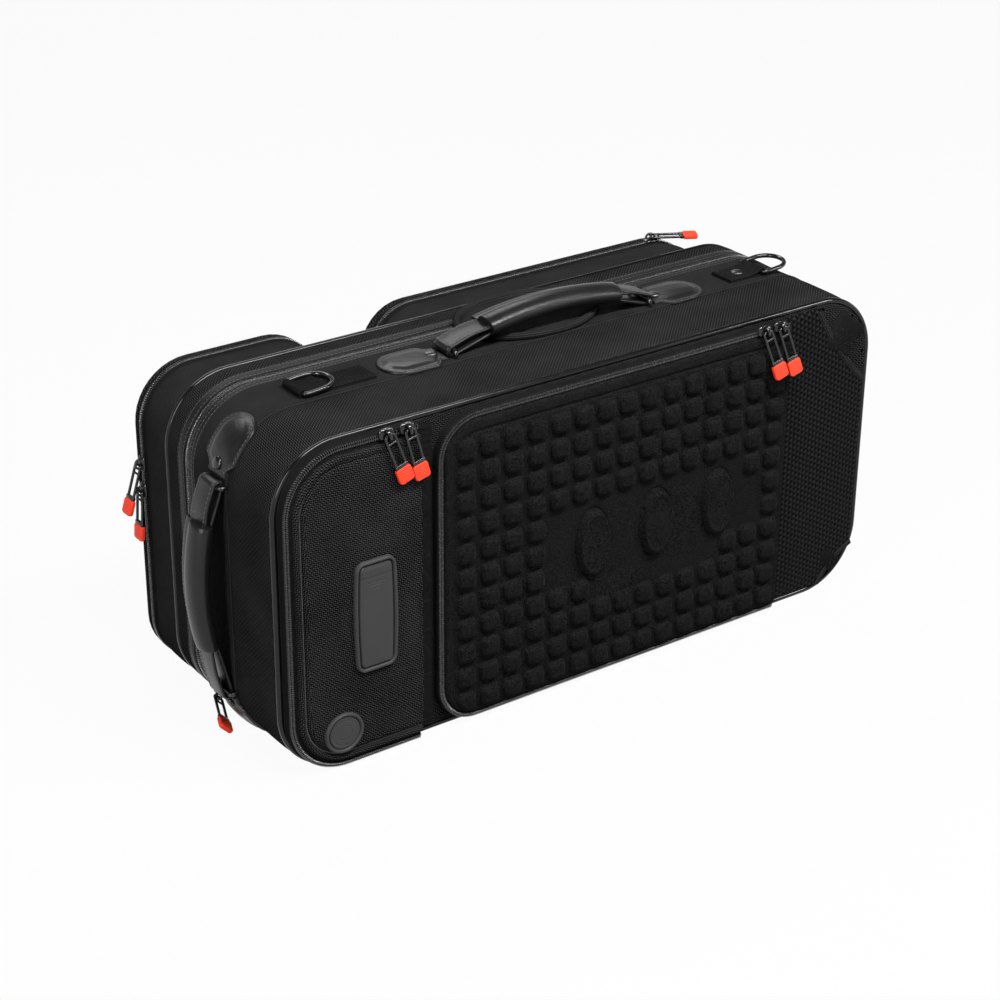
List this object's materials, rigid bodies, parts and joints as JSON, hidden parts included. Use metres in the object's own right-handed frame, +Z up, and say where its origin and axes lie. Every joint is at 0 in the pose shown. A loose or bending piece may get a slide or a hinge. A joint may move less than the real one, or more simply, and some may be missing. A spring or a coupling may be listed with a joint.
{
  "type": "trumpet case",
  "caption": "Soft rounded trumpet case standing on its long side, with zipped lid and pockets, a cushioned back panel, a top handle and a side handle.",
  "frame": {"origin": "on the resting face under the case, midway along its length and midway between the front piping and the lid's rear wall", "axes": "+X along the case to the right as seen from the back panel, +Y from the back panel to the rear pockets, +Z up"},
  "size_m": [0.6118, 0.251, 0.3032],
  "materials": {
    "ballistic_cloth": "tight black diagonal weave over foam and board",
    "canvas": "plain black woven webbing and canvas",
    "velour": "matte brushed black pile over soft foam",
    "leather": "black satin grain leather look",
    "vinyl": "glossy black cord",
    "zip_nylon": "dark nylon zip coil and tape",
    "air_mesh": "open black spacer mesh",
    "plush": "soft dark plush",
    "black_metal": "glossy black coated metal",
    "red_rubber": "matte orange-red rubber",
    "dark_plastic": "dark grey moulded plastic"
  },
  "bodies": {
    "base": {"base_shell": "ballistic_cloth", "base_lining": "plush", "instrument_bed": "plush", "front_piping": "vinyl", "handle_band": "canvas", "base_zip_trim": "leather", "base_zip_coil": "zip_nylon", "top_left_patch": "leather", "top_right_patch": "leather", "upper_side_patch": "leather", "lower_side_patch": "leather", "top_left_loop": "black_metal", "top_right_loop": "black_metal", "upper_side_loop": "black_metal", "lower_side_loop": "black_metal", "knuckle_pad": "canvas", "right_d_ring_tab": "canvas", "left_d_ring_tab": "canvas", "webbing_column": "canvas", "mesh_panel": "air_mesh", "pocket_gusset": "zip_nylon", "pad_gusset": "zip_nylon", "shoulder_straps": "canvas"},
    "lid": {"lid_shell": "ballistic_cloth", "lid_lining": "plush", "lid_piping": "vinyl", "lid_zip_trim": "leather", "lid_zip_coil": "zip_nylon", "right_pocket_wall": "canvas", "left_pocket_wall": "canvas"},
    "right_cover": {"right_pocket_cover": "ballistic_cloth"},
    "left_cover": {"left_pocket_cover": "ballistic_cloth"},
    "front_cover": {"front_pocket_cover": "ballistic_cloth", "card_window": "dark_plastic", "round_badge": "dark_plastic"},
    "pad": {"back_pad": "velour"},
    "top_handle": {"top_handle_strap": "leather", "top_handle_grip": "leather"},
    "side_handle": {"side_handle_strap": "leather", "side_handle_grip": "leather"},
    "ring_right": {"d_ring_right": "black_metal"},
    "ring_left": {"d_ring_left": "black_metal"},
    "pocket_a_slider": {"pocket_a_slider": "black_metal"},
    "pocket_a_pull": {"pocket_a_pull": "red_rubber"},
    "pocket_b_slider": {"pocket_b_slider": "black_metal"},
    "pocket_b_pull": {"pocket_b_pull": "red_rubber"},
    "pad_a_slider": {"pad_a_slider": "black_metal"},
    "pad_a_pull": {"pad_a_pull": "red_rubber"},
    "pad_b_slider": {"pad_b_slider": "black_metal"},
    "pad_b_pull": {"pad_b_pull": "red_rubber"},
    "right_rear_slider": {"right_rear_slider": "black_metal"},
    "right_rear_pull": {"right_rear_pull": "red_rubber"},
    "left_rear_a_slider": {"left_rear_a_slider": "black_metal"},
    "left_rear_a_pull": {"left_rear_a_pull": "red_rubber"},
    "left_rear_b_slider": {"left_rear_b_slider": "black_metal"},
    "left_rear_b_pull": {"left_rear_b_pull": "red_rubber"},
    "main_slider": {"main_slider": "black_metal"},
    "main_pull": {"main_pull": "red_rubber"}
  },
  "joints": [
    {"name": "lid_open", "type": "hinge", "parent": "base", "child": "lid", "pos_m": [0, 0.044, 0], "axis": [-1, 0, 0], "range_deg": [0, 100]},
    {"name": "right_pocket_open", "type": "hinge", "parent": "lid", "child": "right_cover", "pos_m": [0.258, 0.125, 0.135], "axis": [0, 0, -1], "range_deg": [0, 110]},
    {"name": "left_pocket_open", "type": "hinge", "parent": "lid", "child": "left_cover", "pos_m": [-0.128, 0.12, 0.135], "axis": [0, 0, -1], "range_deg": [0, 110]},
    {"name": "front_pocket_open", "type": "hinge", "parent": "base", "child": "front_cover", "pos_m": [-0.169, -0.0915, 0.1335], "axis": [0, 0, 1], "range_deg": [0, 90]},
    {"name": "back_pad_open", "type": "hinge", "parent": "base", "child": "pad", "pos_m": [0.191, -0.0915, 0.1365], "axis": [0, 0, 1], "range_deg": [0, 90]},
    {"name": "top_handle_lift", "type": "slide", "parent": "base", "child": "top_handle", "axis": [0, 0, 1], "range_m": [0, 0.015], "deforming": ["top_handle_strap"]},
    {"name": "side_handle_lift", "type": "slide", "parent": "base", "child": "side_handle", "axis": [-1, 0, 0], "range_m": [0, 0.0014]},
    {"name": "right_ring_turn", "type": "hinge", "parent": "base", "child": "ring_right", "pos_m": [0.229, 0.0035, 0.2761], "axis": [0, -1, 0], "range_deg": [0, 160]},
    {"name": "left_ring_turn", "type": "hinge", "parent": "base", "child": "ring_left", "pos_m": [-0.218, 0.0035, 0.2761], "axis": [0, -1, 0], "range_deg": [0, 150]},
    {"name": "pocket_a_zip", "type": "slide", "parent": "front_cover", "child": "pocket_a_slider", "axis": [-1, 0, 0], "range_m": [0, 0.03]},
    {"name": "pocket_a_pull_turn", "type": "hinge", "parent": "pocket_a_slider", "child": "pocket_a_pull", "pos_m": [-0.1972, -0.0925, 0.2685], "axis": [-0.9439, 0, -0.3304], "range_deg": [0, 150]},
    {"name": "pocket_b_zip", "type": "slide", "parent": "front_cover", "child": "pocket_b_slider", "axis": [1, 0, 0], "range_m": [0, 0.004]},
    {"name": "pocket_b_pull_turn", "type": "hinge", "parent": "pocket_b_slider", "child": "pocket_b_pull", "pos_m": [-0.1796, -0.0925, 0.2685], "axis": [-0.9729, 0, -0.2311], "range_deg": [0, 150]},
    {"name": "pad_a_zip", "type": "slide", "parent": "pad", "child": "pad_a_slider", "axis": [-1, 0, 0], "range_m": [0, 0.27]},
    {"name": "pad_a_pull_turn", "type": "hinge", "parent": "pad_a_slider", "child": "pad_a_pull", "pos_m": [0.1625, -0.0925, 0.2649], "axis": [-0.963, 0, -0.2696], "range_deg": [0, 150]},
    {"name": "pad_b_zip", "type": "slide", "parent": "pad", "child": "pad_b_slider", "axis": [1, 0, 0], "range_m": [0, 0.005]},
    {"name": "pad_b_pull_turn", "type": "hinge", "parent": "pad_b_slider", "child": "pad_b_pull", "pos_m": [0.1788, -0.0925, 0.2649], "axis": [-0.9701, 0, -0.2425], "range_deg": [0, 150]},
    {"name": "right_rear_zip", "type": "slide", "parent": "right_cover", "child": "right_rear_slider", "axis": [-1, 0, 0], "range_m": [0, 0.235]},
    {"name": "right_rear_pull_turn", "type": "hinge", "parent": "right_rear_slider", "child": "right_rear_pull", "pos_m": [0.217, 0.125, 0.2697], "axis": [-0.4856, -0.8742, 0], "range_deg": [0, 150]},
    {"name": "left_rear_a_zip", "type": "slide", "parent": "left_cover", "child": "left_rear_a_slider", "axis": [0, 0, 1], "range_m": [0, 0.022]},
    {"name": "left_rear_a_pull_turn", "type": "hinge", "parent": "left_rear_a_slider", "child": "left_rear_a_pull", "pos_m": [-0.2927, 0.12, 0.188], "axis": [0, 1, 0], "range_deg": [0, 150]},
    {"name": "left_rear_b_zip", "type": "slide", "parent": "left_cover", "child": "left_rear_b_slider", "axis": [0, 0, -1], "range_m": [0, 0.1]},
    {"name": "left_rear_b_pull_turn", "type": "hinge", "parent": "left_rear_b_slider", "child": "left_rear_b_pull", "pos_m": [-0.2927, 0.12, 0.165], "axis": [0, 1, 0], "range_deg": [0, 18]},
    {"name": "main_zip", "type": "hinge", "parent": "base", "child": "main_slider", "pos_m": [-0.234, 0.0388, 0.056], "axis": [0, 1, 0], "range_deg": [0, 40]},
    {"name": "main_pull_turn", "type": "hinge", "parent": "main_slider", "child": "main_pull", "pos_m": [-0.27692, 0.0388, 0.01308], "axis": [0.6983, -0.1571, -0.6983], "range_deg": [0, 150]}
  ]
}
